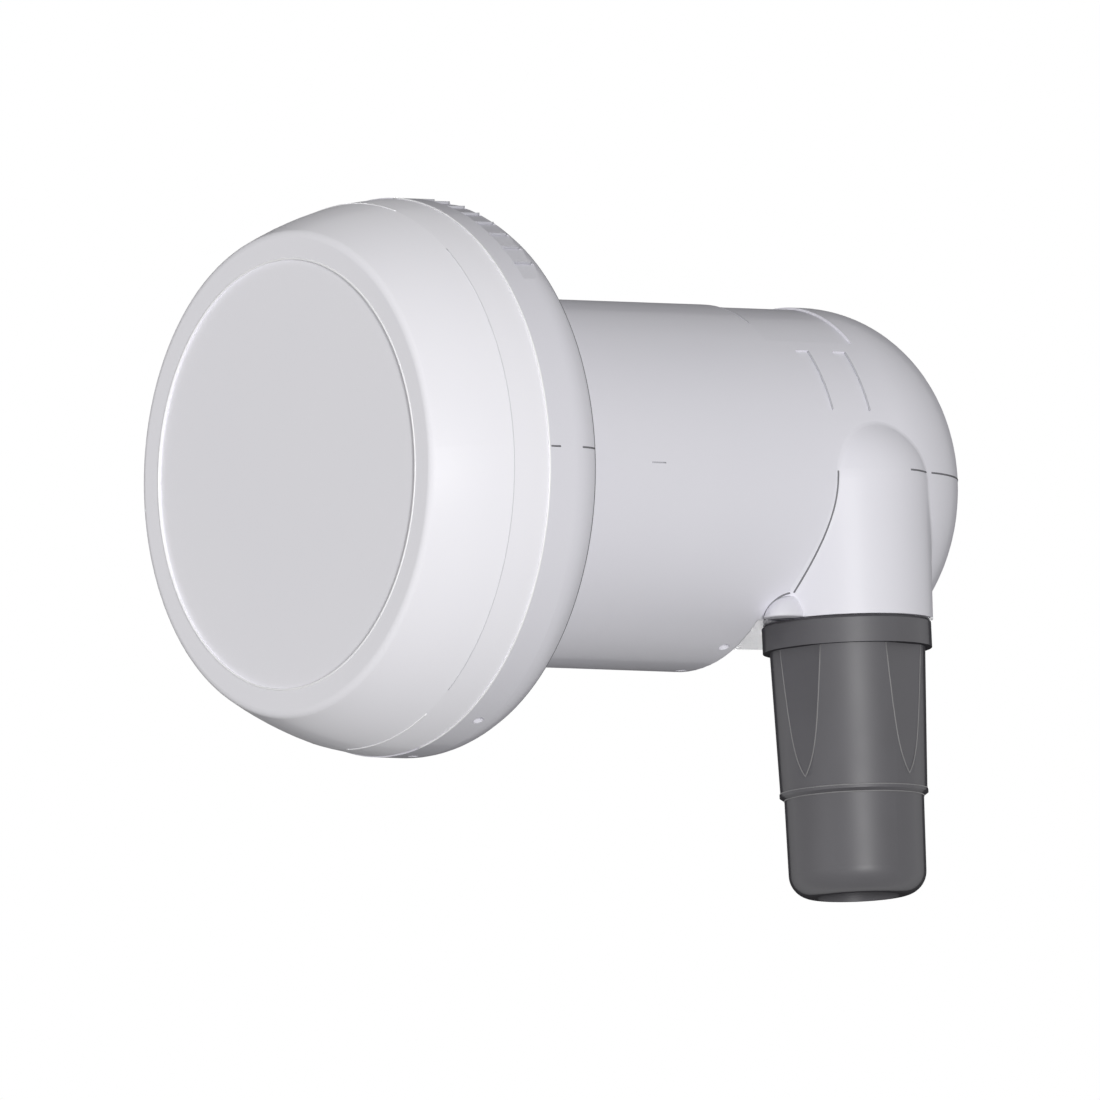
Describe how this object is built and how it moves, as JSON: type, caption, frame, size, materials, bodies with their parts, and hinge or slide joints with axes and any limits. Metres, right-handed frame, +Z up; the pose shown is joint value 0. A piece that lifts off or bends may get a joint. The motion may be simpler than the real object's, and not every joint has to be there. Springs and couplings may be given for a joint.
{
  "type": "satellite lnb",
  "caption": "Satellite LNB with a domed feed cap, a 40 mm clamp neck, a rounded rear housing and a side-set coaxial socket under a pull-off weather boot.",
  "frame": {"origin": "on the feed axis at the middle of the 40 mm clamp neck", "axes": "+Y along the feed axis to the rear, so the feed cap faces -Y; +Z up, so the socket points down; +X to the side on which the socket sits"},
  "size_m": [0.0608, 0.0831, 0.0761],
  "materials": {
    "cap_plastic": "moulded, fine satin",
    "housing_plastic": "moulded, fine satin",
    "boot_rubber": "moulded, satin",
    "seal_rubber": "smooth",
    "cast_alloy": "die-cast, bare",
    "brass": "turned",
    "white_insulator": "smooth",
    "board_laminate": "solder mask",
    "zinc_steel": "zinc plated",
    "chip_epoxy": "moulded epoxy",
    "resonator_ceramic": "sintered",
    "nickel_plate": "bright nickel plate"
  },
  "bodies": {
    "housing": {"feed_cap": "cap_plastic", "upper_housing": "housing_plastic", "lower_housing": "housing_plastic", "socket_shell": "nickel_plate", "cap_seal": "seal_rubber", "horn_body": "cast_alloy", "isolation_rod": "brass", "horizontal_probe": "brass", "vertical_probe": "brass", "probe_sleeves": "white_insulator", "circuit_board": "board_laminate", "board_screws": "zinc_steel", "input_transistors": "chip_epoxy", "mixer_chip": "chip_epoxy", "voltage_regulator": "chip_epoxy", "low_band_resonator": "resonator_ceramic", "high_band_resonator": "resonator_ceramic", "tuning_screws": "brass", "chamber_cover": "cast_alloy", "cover_gasket": "seal_rubber", "cover_screws": "zinc_steel", "socket_insulator": "white_insulator", "socket_contact": "brass", "socket_seal": "seal_rubber"},
    "boot": {"weather_boot": "boot_rubber"}
  },
  "joints": [
    {"name": "boot_slide", "type": "slide", "parent": "housing", "child": "boot", "axis": [0, 0, -1], "range_m": [0, 0.035]}
  ]
}
